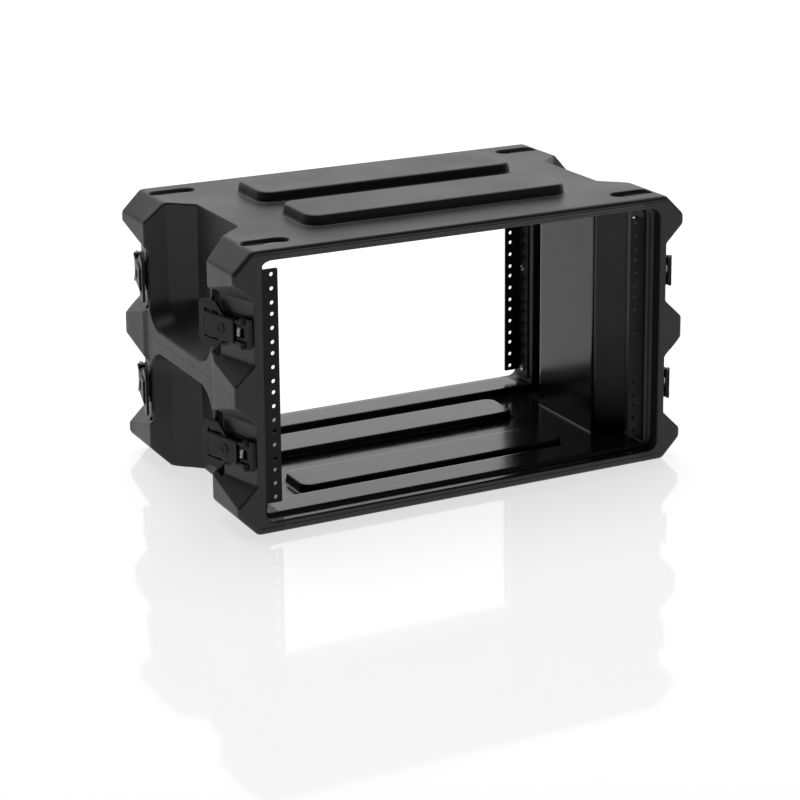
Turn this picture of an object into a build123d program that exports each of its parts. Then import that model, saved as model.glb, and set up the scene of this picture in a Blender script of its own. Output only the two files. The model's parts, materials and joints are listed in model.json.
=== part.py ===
"""Equipment rack case: the open sleeve of a moulded 6-space, 19-inch rack case, with its rails and draw latches.

Millimetres. X runs across the case, Y from the front (-Y) to the rear, +Z up. The origin is at the middle of the
footprint, on the ground. The case is symmetric left to right and front to rear.
"""

import math
import os
from build123d import *

# ---- Case shell
HALF_W = 286.0            # outer faces of the corner columns
HEIGHT = 322.0            # flat of the top face above the ground
HALF_D = 168.0            # front and rear rim faces
CORNER = 24.0             # 45 degree chamfer along the four long corners
WALL = 5.5
FLOOR_Z = 6.0             # inner floor between the necks
MID_Z = HEIGHT / 2
BAR_Y, BAR_H = 64.0, 13.0                # raised bars on the top face, front and rear
BAR_L, BAR_W, BAR_R = 336.0, 84.0, 18.0
RUNNER_Y, RUNNER_H = 60.0, 10.0          # raised runners on the inner floor, hollow underneath
RUNNER_L, RUNNER_W, RUNNER_R = 348.0, 62.0, 14.0
SLOT_X, SLOT_Y = 234.0, 135.0            # obround slots in the four corners of the top face
SLOT_L, SLOT_W, SLOT_DEEP = 57.0, 23.0, 6.0

# ---- Rims: a tongue round the outside, a recessed land inside it
TONGUE = 13.5             # thickness of the outer tongue above and below the opening
TONGUE_IN = 253.5         # inner face of the tongue at the sides
LAND_BACK = 16.0          # how far the land sits behind the tongue's face
OPEN_HW = 245.0           # half width of the clear opening
OPEN_Z = 17.5             # clear opening above the ground, and below the top
NECK = 58.0               # depth of the neck behind each rim face

# ---- Side recesses, two each side, with a rib between them
RECESS_HY = 95.0          # half length at the outer face
RIB_HZ = 12.0             # half height of the rib's outer face
RECESS_R = 36.0
SHELF_DEEP, SHELF_DRAFT = 26.0, 20.0     # steep outer part of the recess walls
DISH_DEEP, DISH_DRAFT = 27.0, 43.0       # sloping inner part, down to the recess floor
RIB_INSET = 3.0

# ---- Latch pockets
POCKET_X, POCKET_TILT = 262.5, 15.0      # pocket floor at the rim face, and its turn from the case's side
POCKET_HZ, LATCH_DZ = 35.0, 69.0         # half height of the floor; latch middles above and below mid height

# ---- Rack rails, EIA-310: 44.45 mm spaces, hole columns 465.12 mm apart
SPACES, SPACE = 6, 44.45
HOLE_X, HOLE_R = 465.12 / 2, 2.4
RAIL_Y = 148.0            # rack faces of the front and rear rails
RAIL_LEN = SPACES * SPACE
RAIL_Z0 = (HEIGHT - RAIL_LEN) / 2
RAIL_T = 2.0
FACE_IN = 225.2           # inner edge of a rail's rack face
LEG_BACK, LEG_Z0 = 28.0, 20.8            # a side leg's depth, and its lower end
LEG_HOLE_Y = RAIL_Y - 17.0
HOLE_Z = [RAIL_Z0 + 6.35 + SPACE * s + step for s in range(SPACES) for step in (0, 15.875, 31.75)]
SCREW_R, INSERT_R, INSERT_L = 2.3, 4.0, 12.0

# ---- Draw latch in its own frame: x along the pocket floor away from the rim, y out of the floor, z up
HINGE_U, HINGE_W, PIN_R = 11.5, 6.0, 1.5
CLAW_U, CLAW_W = 20.0, 5.4
FIT = 0.05                # running clearance of a pin, on the radius
BASE_T, BASE_HZ = 1.6, 17.0
EAR_Z, CHEEK_Z, CHEEK_T = 14.0, 10.2, 3.2
BLOCK_U0, BLOCK_U1, BLOCK_W0, BLOCK_W1 = 24.0, 73.5, 4.0, 10.5
WING = ((42.0, 13.0), (47.0, 16.5), (57.5, 26.5), (74.0, 26.5), (83.0, 25.0), (87.0, 21.0))
WING_W0, WING_W1 = 5.0, 8.2
RIVETS = [(u, z) for u in (32.0, 52.0) for z in (-9.0, 9.0)]
RIVET_R, RIVET_L = 1.6, 7.0
COIL_R, COIL_PITCH, COILS, WIRE_R = 2.25, 1.5, 5, 0.45

os.makedirs("parts", exist_ok=True)


def save(part, name):
    part.label = name
    export_step(part, f"parts/{name}.step")


def bar_pair(length, width, radius, low, height, draft, mid_y):
    """Two drafted bars side by side, front and rear."""
    with BuildPart() as bars:
        with BuildSketch(Plane.XY.offset(low)):
            with Locations((0, mid_y), (0, -mid_y)):
                RectangleRounded(length, width, radius)
        extrude(amount=height, taper=draft)
    return bars.part


# ---- The room inside the shell, cut out of it in one go
shelf_in = RECESS_HY - SHELF_DEEP * math.tan(math.radians(SHELF_DRAFT))
dish_in = shelf_in - DISH_DEEP * math.tan(math.radians(DISH_DRAFT))
shelf_x = HALF_W - SHELF_DEEP
dish_x = shelf_x - DISH_DEEP

with BuildPart() as room:
    with BuildSketch(Plane.XZ) as section:
        with Locations((0, MID_Z)):
            Rectangle(2 * (HALF_W - WALL), HEIGHT - 2 * FLOOR_Z)
        chamfer(section.vertices(), CORNER - 2.3)
    extrude(amount=HALF_D - NECK, both=True)
    # the side recesses stand into the room, one wall thickness proud
    for side in (-1, 1):
        with BuildSketch(Plane.XY):
            with BuildLine():
                Polyline(
                    (side * HALF_W, -RECESS_HY - WALL),
                    (side * (shelf_x - WALL / 2), -shelf_in - WALL),
                    (side * (dish_x - WALL), -dish_in - WALL / 2),
                    (side * (dish_x - WALL), dish_in + WALL / 2),
                    (side * (shelf_x - WALL / 2), shelf_in + WALL),
                    (side * HALF_W, RECESS_HY + WALL),
                    close=True,
                )
            make_face()
        extrude(amount=HEIGHT, mode=Mode.SUBTRACT)
    inner_edges = room.edges().filter_by(Axis.Z).filter_by(lambda e: abs(e.center().X) < HALF_W - WALL - 1)
    fillet(inner_edges, 6.0)
    # hollow of the top bars; runners left standing on the floor
    add(bar_pair(BAR_L - 2 * WALL, BAR_W - 2 * WALL, BAR_R - WALL, HEIGHT - FLOOR_Z - 2, BAR_H + 2, 9, BAR_Y))
    add(bar_pair(RUNNER_L, RUNNER_W, RUNNER_R, 0, FLOOR_Z + RUNNER_H, 8, RUNNER_Y), mode=Mode.SUBTRACT)
    # both necks, and the step from each tongue down to its land
    for y_from, depth, half_w, z_in, radius in (
        (HALF_D, NECK, OPEN_HW, OPEN_Z, 3.0),
        (NECK - HALF_D, NECK, OPEN_HW, OPEN_Z, 3.0),
        (HALF_D, LAND_BACK, TONGUE_IN, TONGUE, 12.0),
        (LAND_BACK - HALF_D, LAND_BACK, TONGUE_IN, TONGUE, 12.0),
    ):
        with BuildSketch(Plane.XZ.offset(-y_from)):
            with Locations((0, MID_Z)):
                RectangleRounded(2 * half_w, HEIGHT - 2 * z_in, radius)
        extrude(amount=depth)

# ---- Case shell
with BuildPart() as case_shell:
    with BuildSketch(Plane.XZ) as outline:
        with Locations((0, MID_Z)):
            Rectangle(2 * HALF_W, HEIGHT)
        chamfer(outline.vertices(), CORNER)
    extrude(amount=HALF_D, both=True)
    fillet(case_shell.edges().filter_by(Axis.Y), 7.0)
    rims = case_shell.faces().filter_by(Axis.Y)
    fillet(rims.edges(), 4.0)
    # bars on the top face
    add(bar_pair(BAR_L, BAR_W, BAR_R, HEIGHT - 1, BAR_H + 1, 9, BAR_Y))
    fillet(case_shell.faces().sort_by(Axis.Z)[-2:].edges(), 2.5)
    # side recesses: a steep wall, then a slope to the floor, open at the top and bottom of the case
    tall = HEIGHT / 2 + 60 - RIB_HZ
    for side in (-1, 1):
        face = Plane(origin=(side * HALF_W, 0, MID_Z), x_dir=(0, 1, 0), z_dir=(-side, 0, 0))
        for deep, reach, draft, start in (
            (SHELF_DEEP, 0, SHELF_DRAFT, 0),
            (DISH_DEEP, RECESS_HY - shelf_in, DISH_DRAFT, SHELF_DEEP),
        ):
            with BuildSketch(face.offset(start)):
                with Locations((0, RIB_HZ + tall / 2), (0, -RIB_HZ - tall / 2)):
                    RectangleRounded(2 * (RECESS_HY - reach), tall - 2 * reach, RECESS_R - reach)
            extrude(amount=deep, taper=draft, mode=Mode.SUBTRACT)
        # the rib's face is set back a little from the columns' faces
        with BuildSketch(face):
            RectangleRounded(2 * RECESS_HY + 24, 2 * RIB_HZ + 60, 20)
        extrude(amount=RIB_INSET, taper=70, mode=Mode.SUBTRACT)
    # latch pockets: a tilted floor between 45 degree upper and lower walls
    turn = math.radians(POCKET_TILT)
    for side in (-1, 1):
        for end in (-1, 1):
            for up in (-1, 1):
                pocket = Plane(
                    origin=(side * POCKET_X, end * HALF_D, MID_Z + up * LATCH_DZ),
                    x_dir=(side * math.sin(turn), -end * math.cos(turn), 0),
                    z_dir=(side * math.cos(turn), end * math.sin(turn), 0),
                )
                with BuildSketch(pocket):
                    with Locations((32, 0)):
                        Rectangle(124, 2 * POCKET_HZ)
                extrude(amount=26, taper=-45, mode=Mode.SUBTRACT)
                with BuildSketch(pocket):
                    with Locations(*RIVETS):
                        Circle(RIVET_R)
                extrude(amount=BASE_T - RIVET_L, mode=Mode.SUBTRACT)
    # corner slots in the top face, and the channels under the runners
    with BuildSketch(Plane.XY.offset(HEIGHT)):
        with Locations(*[(sx * SLOT_X, sy * SLOT_Y) for sx in (-1, 1) for sy in (-1, 1)]):
            SlotOverall(SLOT_L, SLOT_W)
    extrude(amount=-SLOT_DEEP, taper=20, mode=Mode.SUBTRACT)
    add(
        bar_pair(RUNNER_L - 2 * WALL, RUNNER_W - 2 * WALL, RUNNER_R - WALL, 0, RUNNER_H, 8, RUNNER_Y),
        mode=Mode.SUBTRACT,
    )
    add(room.part, mode=Mode.SUBTRACT)
    # seats of the rail inserts
    for side in (-1, 1):
        for end in (-1, 1):
            middle = HOLE_Z[8] if end < 0 else HOLE_Z[9]
            for z in (HOLE_Z[0], middle, HOLE_Z[-1]):
                with BuildSketch(Plane(origin=(side * OPEN_HW, end * LEG_HOLE_Y, z), z_dir=(side, 0, 0))):
                    Circle(INSERT_R)
                extrude(amount=INSERT_L, mode=Mode.SUBTRACT)
save(case_shell.part, "case_shell")


# ---- Rack rails: an L-section with the rack holes in its face and a second row in the side leg
def rack_rail(side, end):
    with BuildPart() as rail:
        # rack face, standing across the case
        with BuildSketch(Plane.XZ.offset(-end * RAIL_Y)):
            with Locations((side * (FACE_IN + OPEN_HW) / 2, MID_Z)):
                RectangleRounded(OPEN_HW - FACE_IN, RAIL_LEN, 1.5)
        extrude(amount=end * RAIL_T)
        # side leg, against the neck, longer than the face at both ends
        with BuildSketch(Plane.YZ.offset(side * OPEN_HW)):
            with Locations((end * (RAIL_Y - LEG_BACK / 2), MID_Z)):
                RectangleRounded(LEG_BACK, HEIGHT - 2 * LEG_Z0, 3)
        extrude(amount=-side * RAIL_T)
        with BuildSketch(Plane.XZ.offset(-end * RAIL_Y)):
            with Locations(*[(side * HOLE_X, z) for z in HOLE_Z]):
                Circle(HOLE_R)
        extrude(amount=end * RAIL_T, mode=Mode.SUBTRACT)
        with BuildSketch(Plane.YZ.offset(side * OPEN_HW)):
            with Locations(*[(end * LEG_HOLE_Y, z) for z in HOLE_Z]):
                Circle(HOLE_R)
        extrude(amount=-side * RAIL_T, mode=Mode.SUBTRACT)
    return rail.part


CORNERS = {(-1, -1): "front_left", (1, -1): "front_right", (-1, 1): "rear_left", (1, 1): "rear_right"}
for (side, end), where in CORNERS.items():
    save(rack_rail(side, end), f"rack_rail_{where}")


def leg_screw_spots():
    """A plane at each screwed hole of the side legs, on the neck's face and facing out of the case."""
    for side, end in CORNERS:
        for z in (HOLE_Z[0], HOLE_Z[8] if end < 0 else HOLE_Z[9], HOLE_Z[-1]):
            yield Plane(origin=(side * OPEN_HW, end * LEG_HOLE_Y, z), z_dir=(side, 0, 0))


with BuildPart() as rail_inserts:
    for spot in leg_screw_spots():
        with BuildSketch(spot):
            Circle(INSERT_R)
            Circle(SCREW_R, mode=Mode.SUBTRACT)
        extrude(amount=INSERT_L)
save(rail_inserts.part, "rail_inserts")

with BuildPart() as rail_screws:
    for spot in leg_screw_spots():
        with BuildSketch(spot.offset(-RAIL_T)):
            Circle(SCREW_R)
        extrude(amount=INSERT_L)
        # domed pan head with a cross recess
        with BuildSketch(spot.offset(-RAIL_T)):
            Circle(4.4)
        extrude(amount=-2.4, taper=18)
        with BuildSketch(spot.offset(-RAIL_T - 2.4)):
            Rectangle(4.2, 1.0)
            Rectangle(1.0, 4.2)
        extrude(amount=1.2, mode=Mode.SUBTRACT)
save(rail_screws.part, "rail_screws")

# ---- Draw latch pieces, each in the latch's own frame
with BuildPart() as latch_base:
    with BuildSketch(Plane.XZ):
        with Locations((33, 0)):
            RectangleRounded(54, 2 * BASE_HZ, 3)
    extrude(amount=-BASE_T)
    # two ears carry the hinge pins
    for z in (EAR_Z, -BASE_HZ):
        with BuildSketch(Plane.XY.offset(z)):
            with Locations((HINGE_U, HINGE_W)):
                Circle(4.2)
            with Locations((HINGE_U, HINGE_W / 2)):
                Rectangle(8.4, HINGE_W)
        extrude(amount=BASE_HZ - EAR_Z)
    with BuildSketch(Plane.XY.offset(-BASE_HZ)):
        with Locations((HINGE_U, HINGE_W)):
            Circle(PIN_R)
    extrude(amount=2 * BASE_HZ, mode=Mode.SUBTRACT)
    with BuildSketch(Plane.XZ):
        with Locations(*RIVETS):
            Circle(RIVET_R)
    extrude(amount=-BASE_T, mode=Mode.SUBTRACT)

with BuildPart() as hinge_pins:
    for z in (CHEEK_Z, -BASE_HZ - 0.6):
        with BuildSketch(Plane.XY.offset(z)):
            with Locations((HINGE_U, HINGE_W)):
                Circle(PIN_R)
        extrude(amount=BASE_HZ + 0.6 - CHEEK_Z)

with BuildPart() as latch_handle:
    half = CHEEK_Z + CHEEK_T
    # block: a cover with rounded shoulders, open underneath, with an end wall
    with BuildSketch(Plane.YZ.offset(BLOCK_U0)) as arch:
        with Locations(((BLOCK_W0 + BLOCK_W1) / 2, 0)):
            Rectangle(BLOCK_W1 - BLOCK_W0, 2 * half)
        fillet(arch.vertices().filter_by(lambda v: v.X > BLOCK_W1 - 1), 1.6)
        with Locations((BLOCK_W0, 0)):
            Rectangle(2 * (8.3 - BLOCK_W0), 2 * CHEEK_Z, mode=Mode.SUBTRACT)
    extrude(amount=BLOCK_U1 - BLOCK_U0)
    with BuildSketch(Plane.XY.offset(-CHEEK_Z)):
        with Locations((BLOCK_U1 - 1.3, 6.5)):
            Rectangle(2.6, 5)
    extrude(amount=2 * CHEEK_Z)
    # two cheeks run from the block's sides to the hinge pins
    for z in (CHEEK_Z, -half):
        with BuildSketch(Plane.XY.offset(z)):
            with Locations((HINGE_U, HINGE_W)):
                Circle(3.8)
            with BuildLine():
                Polyline(
                    (HINGE_U, HINGE_W - 3.8), (26, BLOCK_W0 - 1.2), (32, BLOCK_W0),
                    (32, 8.8), (HINGE_U, HINGE_W + 3.8), close=True,
                )
            make_face()
        extrude(amount=CHEEK_T)
    # the wide wing, parted from the block by a slot on three sides
    with BuildSketch(Plane.XZ.offset(-WING_W0)) as wing:
        with BuildLine():
            outline = [*WING, *[(u, -z) for u, z in reversed(WING)]]
            Polyline(*outline, close=True)
        make_face()
        fillet(wing.vertices().filter_by(lambda v: v.X > 50), 1.5)
        with Locations((64.5, 0)):
            Rectangle(25, 32.8, mode=Mode.SUBTRACT)
        with Locations((48, 0)):
            Rectangle(14, 2 * CHEEK_Z, mode=Mode.SUBTRACT)
    extrude(amount=-(WING_W1 - WING_W0))
    # round boss on the block
    with BuildSketch(Plane.XZ.offset(-BLOCK_W1)):
        with Locations((45, 0)):
            Circle(5.6)
    extrude(amount=-0.8)
    with BuildSketch(Plane.XZ.offset(-BLOCK_W1 - 0.8)):
        with Locations((45, 0)):
            Circle(4.2)
    extrude(amount=0.5, mode=Mode.SUBTRACT)
    with BuildSketch(Plane.XY.offset(-BASE_HZ)):
        with Locations((HINGE_U, HINGE_W)):
            Circle(PIN_R + FIT)
        with Locations((CLAW_U, CLAW_W)):
            Circle(PIN_R)
    extrude(amount=2 * BASE_HZ, mode=Mode.SUBTRACT)

with BuildPart() as claw_pin:
    with BuildSketch(Plane.XY.offset(-CHEEK_Z - CHEEK_T)):
        with Locations((CLAW_U, CLAW_W)):
            Circle(PIN_R)
    extrude(amount=2 * (CHEEK_Z + CHEEK_T))

with BuildPart() as latch_claw:
    # a barrel and an arm each side of the spring
    for z in (5.3, -9.7):
        with BuildSketch(Plane.XY.offset(z)):
            with Locations((CLAW_U, CLAW_W)):
                Circle(2.6)
            with Locations(((CLAW_U + 6) / 2, CLAW_W)):
                Rectangle(CLAW_U - 6, 2.4)
            with Locations((CLAW_U, CLAW_W)):
                Circle(PIN_R + FIT, mode=Mode.SUBTRACT)
        extrude(amount=4.4)
    # the claw plate, joined across the arms, with its hook turned in at the rim
    with BuildSketch(Plane.XZ.offset(-CLAW_W + 1.2)):
        with Locations((3.7, 0)):
            RectangleRounded(5.8, 2 * BASE_HZ, 1.2)
        with Locations((7.8, 0)):
            Rectangle(3.4, 19.4)
    extrude(amount=-2.4)
    with BuildSketch(Plane.XZ.offset(-CLAW_W + 1.2)):
        with Locations((1.9, 0)):
            Rectangle(2.2, 2 * BASE_HZ - 2.4)
    extrude(amount=2.0)

with BuildPart() as latch_spring:
    # a torsion spring round the claw pin: one leg under the block, the other out through the claw's window
    with BuildLine(Plane.XY.offset(-COILS * COIL_PITCH / 2)) as coil:
        Helix(pitch=COIL_PITCH, height=COILS * COIL_PITCH, radius=COIL_R)
    path = coil.line
    with BuildSketch(Plane(origin=path @ 0, z_dir=path % 0)):
        Circle(WIRE_R)
    sweep(path=path, is_frenet=True)
    for tip, way, length in ((path @ 0, -(path % 0), 6.5), (path @ 1, path % 1, 6.0)):
        with BuildSketch(Plane(origin=tip - way * 0.2, z_dir=way)):
            Circle(WIRE_R - 0.02)
        extrude(amount=length + 0.2)
latch_spring.part = latch_spring.part.rotate(Axis.Z, 90).translate((CLAW_U, CLAW_W, 0))


def latch_frame(side, end, up):
    """The frame of one latch: on the pocket floor at the rim face."""
    turn = math.radians(POCKET_TILT)
    return Plane(
        origin=(side * POCKET_X, end * HALF_D, MID_Z + up * LATCH_DZ),
        x_dir=(side * math.sin(turn), -end * math.cos(turn), 0),
        z_dir=(0, 0, side * end),
    )


LATCHES = [
    (f"latch_{where}_{level}", latch_frame(side, end, up))
    for (side, end), where in CORNERS.items()
    for up, level in ((1, "upper"), (-1, "lower"))
]
for latch, frame in LATCHES:
    for block, piece in (
        (latch_base, "base"), (hinge_pins, "hinge_pins"), (latch_handle, "handle"),
        (claw_pin, "claw_pin"), (latch_claw, "claw"), (latch_spring, "spring"),
    ):
        save(block.part.moved(frame.location), f"{latch}_{piece}")

# ---- Rivets through the latch bases into the shell
with BuildPart() as latch_rivets:
    for _, frame in LATCHES:
        floor = Plane(origin=frame.origin, x_dir=frame.x_dir, z_dir=frame.y_dir)
        spots = [(u, z) for u, z in RIVETS]
        with BuildSketch(floor.offset(BASE_T)):
            with Locations(*spots):
                Circle(RIVET_R)
        extrude(amount=-RIVET_L)
        with BuildSketch(floor.offset(BASE_T)):
            with Locations(*spots):
                Circle(3.0)
        extrude(amount=0.9, taper=25)
save(latch_rivets.part, "latch_rivets")
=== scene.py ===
"""Looks of the equipment rack case: materials, softened shell, floor, light and camera.

Metres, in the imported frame: x runs across the case, y from the front (-y) to the rear, and z up from the ground.
"""

import json
import math

import bpy
from mathutils import Matrix, Vector


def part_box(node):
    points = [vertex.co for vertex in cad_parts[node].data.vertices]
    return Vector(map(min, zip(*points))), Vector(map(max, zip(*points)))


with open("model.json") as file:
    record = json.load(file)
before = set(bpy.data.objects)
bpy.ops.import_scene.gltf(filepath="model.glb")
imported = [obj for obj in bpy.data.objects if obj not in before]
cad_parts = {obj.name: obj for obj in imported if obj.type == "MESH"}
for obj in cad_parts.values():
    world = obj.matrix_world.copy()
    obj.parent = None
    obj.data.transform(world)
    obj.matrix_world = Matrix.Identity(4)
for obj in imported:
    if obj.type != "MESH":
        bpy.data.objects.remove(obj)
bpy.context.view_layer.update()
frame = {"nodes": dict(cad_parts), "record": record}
nodes = frame["nodes"]
slot_of = {part["node"]: part["material_slot"] for part in frame["record"]["subparts"]}

# ---- Places on the shell, for its material
shell_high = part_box("case_shell")[1]
rail_low, rail_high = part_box("rack_rail_front_left")
SEAM_Z = (rail_low.z + rail_high.z) / 2  # the parting line, at mid height
SEAM_X = shell_high.x - 0.0055           # it shows on the sides, from here outwards
INNER_X = shell_high.x - 0.0555          # within the recess floors' wall
INNER_TOP = shell_high.z - 0.016         # within the top wall
INNER_LOW = 0.001                        # just above the case's underside
RIM_Y = shell_high.y - 0.0015            # the rims' flat faces lie past this
RIM_X, RIM_Z = 0.2535, 0.1475            # half width and half height inside the rims' tongues
RING_OUT = 0.0065                        # from there out to the line round each rim

# ---- Edges
VOXEL, QUICK_VOXEL = 0.0014, 0.0026
RELAX_STEPS, QUICK_RELAX_STEPS = 4, 2
LATCH_EDGE, LATCH_EDGE_ANGLE = 0.00035, math.radians(40)
BEVELLED = ("handle", "base", "claw")

# ---- Camera
CAMERA_PLACE = Vector((-1.2082, -2.3649, 0.9455))
YAW, PITCH, ROLL = 0.4714, 0.234, 0.0086  # turned right from +y, tipped down, and rolled, in radians
SENSOR_MM, LENS_MM = 36, 104.6655
SHIFT_X, SHIFT_Y = 0.002, -0.25


class Nodes:
    """Short names for building one material's node tree."""

    def __init__(self, name):
        self.material = bpy.data.materials.new(name)
        self.material.use_nodes = True
        self.tree = self.material.node_tree
        self.tree.nodes.clear()
        out = self.add("ShaderNodeOutputMaterial")
        self.bsdf = self.add("ShaderNodeBsdfPrincipled")
        self.link(self.bsdf.outputs[0], out.inputs[0])
        self.place = self.add("ShaderNodeNewGeometry").outputs["Position"]

    def add(self, kind, **values):
        node = self.tree.nodes.new(kind)
        for key, value in values.items():
            setattr(node, key, value)
        return node

    def link(self, source, socket):
        self.tree.links.new(source, socket)

    def put(self, socket, given):
        """Link an output to the socket, or set a plain value on it."""
        if hasattr(given, "is_linked"):
            self.link(given, socket)
        else:
            socket.default_value = given

    def shade(self, **values):
        """Give the shader its inputs by name, with _ for a space."""
        for key, given in values.items():
            self.put(self.bsdf.inputs[key.replace("_", " ")], given)

    def noise(self, scale, detail=3.0, stretch=(1, 1, 1), rough=0.5):
        mapping = self.add("ShaderNodeMapping")
        mapping.inputs["Scale"].default_value = stretch
        self.link(self.place, mapping.inputs["Vector"])
        node = self.add("ShaderNodeTexNoise")
        node.inputs["Scale"].default_value = scale
        node.inputs["Detail"].default_value = detail
        node.inputs["Roughness"].default_value = rough
        self.link(mapping.outputs[0], node.inputs["Vector"])
        return node.outputs["Fac"]

    def math(self, operation, a, b=0.0):
        node = self.add("ShaderNodeMath", operation=operation)
        self.put(node.inputs[0], a)
        self.put(node.inputs[1], b)
        return node.outputs[0]

    def both(self, a, b):
        return self.math("MULTIPLY", a, b)

    def apart(self, a, b):
        """How far two numbers are apart."""
        return self.math("ABSOLUTE", self.math("SUBTRACT", a, b))

    def ranged(self, value, low, high, to_low, to_high):
        node = self.add("ShaderNodeMapRange")
        self.put(node.inputs["Value"], value)
        for name, given in (("From Min", low), ("From Max", high), ("To Min", to_low), ("To Max", to_high)):
            self.put(node.inputs[name], given)
        return node.outputs[0]

    def mix(self, factor, a, b):
        node = self.add("ShaderNodeMix", data_type="RGBA")
        self.put(node.inputs[0], factor)
        self.put(node.inputs[6], a)
        self.put(node.inputs[7], b)
        return node.outputs[2]

    def bump(self, height, strength, distance, before=None):
        node = self.add("ShaderNodeBump")
        node.inputs["Strength"].default_value = strength
        node.inputs["Distance"].default_value = distance
        self.link(height, node.inputs["Height"])
        if before is not None:
            self.link(before, node.inputs["Normal"])
        return node.outputs[0]


def grey(level, warm=0.0):
    """A grey, with warm as the share added to red and taken from blue."""
    return (level * (1 + warm), level, level * (1 - warm), 1.0)


# ---- Materials
def case_plastic():
    """Black moulded polyethylene: pebbled outside, smoother and glossier inside, with a parting line."""
    n = Nodes("case_plastic")
    xyz = n.add("ShaderNodeSeparateXYZ")
    n.link(n.place, xyz.inputs[0])
    x = n.math("ABSOLUTE", xyz.outputs[0])
    y = n.math("ABSOLUTE", xyz.outputs[1])
    z = xyz.outputs[2]
    inside = n.both(n.math("LESS_THAN", x, INNER_X), n.math("LESS_THAN", z, INNER_TOP))
    inside = n.both(inside, n.math("GREATER_THAN", z, INNER_LOW))
    outside = n.math("SUBTRACT", 1.0, inside)

    # black with slow blotches and pale scuffs
    blotch = n.noise(9.0, 4.0)
    base = n.mix(blotch, grey(0.0085, 0.05), grey(0.0135, 0.03))
    scuffs = n.ranged(n.noise(60.0, 5.0, stretch=(1, 1, 14)), 0.62, 0.78, 0.0, 0.35)
    outer_rough = n.ranged(blotch, 0.3, 0.7, 0.40, 0.52)
    inner_rough = n.ranged(blotch, 0.3, 0.7, 0.13, 0.20)
    rough = n.math("ADD", n.both(inside, inner_rough), n.both(outside, outer_rough))

    # the parting line on the sides, and a fine step line round each rim face
    from_seam = n.apart(z, SEAM_Z)
    seam = n.both(n.ranged(from_seam, 0.0004, 0.0011, 1.0, 0.0), n.math("GREATER_THAN", x, SEAM_X))
    past_tongue = n.math("MAXIMUM", n.math("SUBTRACT", x, RIM_X), n.math("SUBTRACT", from_seam, RIM_Z))
    ring = n.ranged(n.apart(past_tongue, RING_OUT), 0.0003, 0.0010, 1.0, 0.0)
    ring = n.both(ring, n.math("GREATER_THAN", y, RIM_Y))
    lines = n.math("ADD", n.both(seam, 0.6), ring)

    # slow waves of the moulding, then the lines, then the pebble grain
    waves = n.bump(n.noise(14.0, 2.0), 0.35, 0.0012)
    lined = n.bump(lines, 0.8, 0.0006, waves)
    grain = n.both(n.noise(900.0, 2.0), n.ranged(inside, 0.0, 1.0, 1.0, 0.15))
    n.shade(
        Base_Color=n.mix(scuffs, base, grey(0.03)),
        Roughness=rough,
        Normal=n.bump(grain, 0.30, 0.00025, lined),
        IOR=1.5,
        Specular_Tint=(1.0, 0.955, 1.0, 1.0),
    )
    return n.material


def coated(name, level, rough):
    """Black coat on steel: orange-peel grain, soft dulling, brighter rubbed specks."""
    n = Nodes(name)
    rubbed = n.ranged(n.noise(240.0, 5.0, rough=0.65), 0.60, 0.74, 0.0, 0.5)
    tone = n.mix(n.noise(35.0, 3.0), grey(level * 0.8), grey(level * 1.25))
    n.shade(
        Base_Color=n.mix(rubbed, tone, grey(level * 2.4, 0.02)),
        Roughness=n.ranged(n.noise(70.0, 4.0), 0.3, 0.7, rough - 0.06, rough + 0.08),
        Normal=n.bump(n.noise(1600.0, 2.0), 0.25, 0.00012),
        Specular_IOR_Level=0.18,
    )
    return n.material


def metal(name, color, rough, stretch=(1, 1, 1)):
    """Bare or plated metal: fine grain, dull patches and a little grime."""
    n = Nodes(name)
    grime = n.ranged(n.noise(400.0, 5.0), 0.55, 0.75, 0.0, 0.6)
    dark = tuple(channel * 0.45 for channel in color)
    n.shade(
        Base_Color=n.mix(grime, (*color, 1.0), (*dark, 1.0)),
        Roughness=n.ranged(n.noise(180.0, 4.0), 0.3, 0.7, rough - 0.05, rough + 0.12),
        Normal=n.bump(n.noise(2500.0, 2.0, stretch=stretch), 0.2, 0.00006),
        Metallic=1.0,
    )
    return n.material


def studio_floor():
    """Pale glossy sheet that glows, so that it stays even."""
    n = Nodes("studio_floor")
    n.shade(
        Base_Color=(0.34, 0.34, 0.345, 1.0),
        Roughness=n.ranged(n.noise(3.0, 3.0), 0.3, 0.7, 0.05, 0.07),
        IOR=1.30,
        Emission_Color=(1.0, 1.0, 1.0, 1.0),
        Emission_Strength=0.69,
    )
    return n.material


MATERIALS = {
    "case_plastic": case_plastic(),
    "rail_black": coated("rail_black", 0.009, 0.42),
    "latch_black": coated("latch_black", 0.008, 0.42),
    "rivet_steel": coated("rivet_steel", 0.02, 0.35),
    "screw_steel": metal("screw_steel", (0.62, 0.62, 0.63), 0.28),
    "insert_brass": metal("insert_brass", (0.70, 0.55, 0.26), 0.32),
    "pin_steel": metal("pin_steel", (0.45, 0.45, 0.46), 0.30, stretch=(1, 1, 12)),
    "spring_steel": metal("spring_steel", (0.85, 0.85, 0.86), 0.16),
}

for name, obj in nodes.items():
    obj.data.materials.clear()
    obj.data.materials.append(MATERIALS[slot_of[name]])


# ---- Edges
def soften_shell(shell):
    """The moulded shell has soft edges everywhere: fine voxels, then relaxed."""
    voxels = shell.modifiers.new("mould_voxels", "REMESH")
    voxels.mode = "VOXEL"
    voxels.voxel_size = VOXEL
    voxels.use_smooth_shade = True
    relax = shell.modifiers.new("mould_relax", "SMOOTH")
    relax.factor = 0.5
    relax.iterations = RELAX_STEPS


def round_edges(piece):
    """Small rounded edges on a latch's larger pieces."""
    bevel = piece.modifiers.new("stamped_edges", "BEVEL")
    bevel.width = LATCH_EDGE
    bevel.segments = 2
    bevel.limit_method = "ANGLE"
    bevel.angle_limit = LATCH_EDGE_ANGLE


soften_shell(nodes["case_shell"])
for name, obj in nodes.items():
    if name.startswith("latch_") and name.endswith(BEVELLED):
        round_edges(obj)


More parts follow.
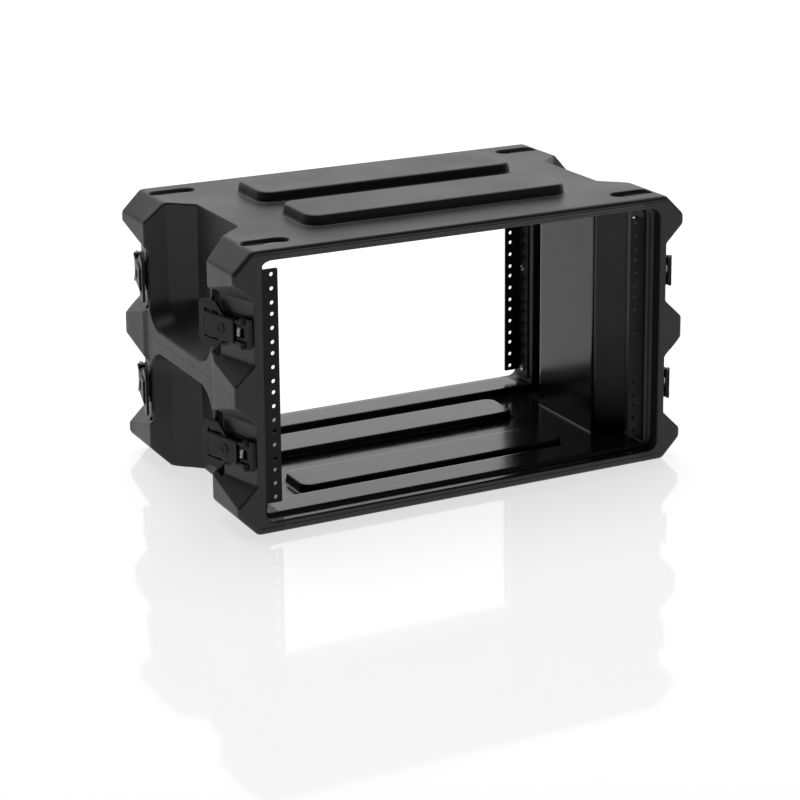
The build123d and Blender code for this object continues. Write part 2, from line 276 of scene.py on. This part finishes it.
# ---- Floor and light
def add_floor():
    bpy.ops.mesh.primitive_plane_add(size=60, location=(0, 0, 0))
    floor = bpy.context.object
    floor.name = "studio_floor"
    floor.data.materials.append(studio_floor())


def studio_world():
    """Light from all round: bright behind the case, dimmer to its left, dark in front of it."""
    world = bpy.data.worlds.new("studio")
    world.use_nodes = True
    tree = world.node_tree
    tree.nodes.clear()
    direction = tree.nodes.new("ShaderNodeTexCoord")
    axes = tree.nodes.new("ShaderNodeSeparateXYZ")
    tree.links.new(direction.outputs["Generated"], axes.inputs[0])
    strength = tree.nodes.new("ShaderNodeMath")
    strength.operation = "MULTIPLY"
    # a ramp along y and one along x: where each starts and ends, and its values there
    for socket, axis, low, high, dim, bright in (
        (0, 1, -0.4, 0.55, 0.07, 1.55),
        (1, 0, -0.7, 0.1, 0.12, 1.0),
    ):
        ramp = tree.nodes.new("ShaderNodeMapRange")
        ramp.interpolation_type = "SMOOTHSTEP"
        for key, given in (("From Min", low), ("From Max", high), ("To Min", dim), ("To Max", bright)):
            ramp.inputs[key].default_value = given
        tree.links.new(axes.outputs[axis], ramp.inputs["Value"])
        tree.links.new(ramp.outputs[0], strength.inputs[socket])
    sky = tree.nodes.new("ShaderNodeBackground")
    tree.links.new(strength.outputs[0], sky.inputs["Strength"])
    out = tree.nodes.new("ShaderNodeOutputWorld")
    tree.links.new(sky.outputs[0], out.inputs[0])
    return world


def add_softbox(name, place, aim, size, watts):
    light = bpy.data.lights.new(name, "AREA")
    light.shape = "RECTANGLE"
    light.size, light.size_y = size
    light.energy = watts
    softbox = bpy.data.objects.new(name, light)
    bpy.context.scene.collection.objects.link(softbox)
    softbox.location = place
    softbox.rotation_euler = (Vector(aim) - Vector(place)).to_track_quat("-Z", "Y").to_euler()


add_floor()
bpy.context.scene.world = studio_world()
add_softbox("top_softbox", place=(0.1, 0.5, 2.2), aim=(0, 0, 0.2), size=(1.8, 1.4), watts=26)


# ---- Camera
def add_camera():
    """In front of the case, to its left and above it, with the lens shifted down."""
    forward = Vector((math.sin(YAW) * math.cos(PITCH), math.cos(YAW) * math.cos(PITCH), -math.sin(PITCH)))
    level = Vector((math.cos(YAW), -math.sin(YAW), 0.0))
    down = forward.cross(level)
    right = level * math.cos(ROLL) + down * math.sin(ROLL)
    up = level * math.sin(ROLL) - down * math.cos(ROLL)
    data = bpy.data.cameras.new("camera")
    data.lens = LENS_MM
    data.sensor_width = SENSOR_MM
    data.shift_x = SHIFT_X
    data.shift_y = SHIFT_Y
    data.clip_end = 100
    camera = bpy.data.objects.new("camera", data)
    bpy.context.scene.collection.objects.link(camera)
    camera.matrix_world = Matrix((
        (right.x, up.x, -forward.x, CAMERA_PLACE.x),
        (right.y, up.y, -forward.y, CAMERA_PLACE.y),
        (right.z, up.z, -forward.z, CAMERA_PLACE.z),
        (0, 0, 0, 1),
    ))
    return camera


bpy.context.scene.camera = add_camera()
bpy.context.scene.view_settings.view_transform = "Standard"
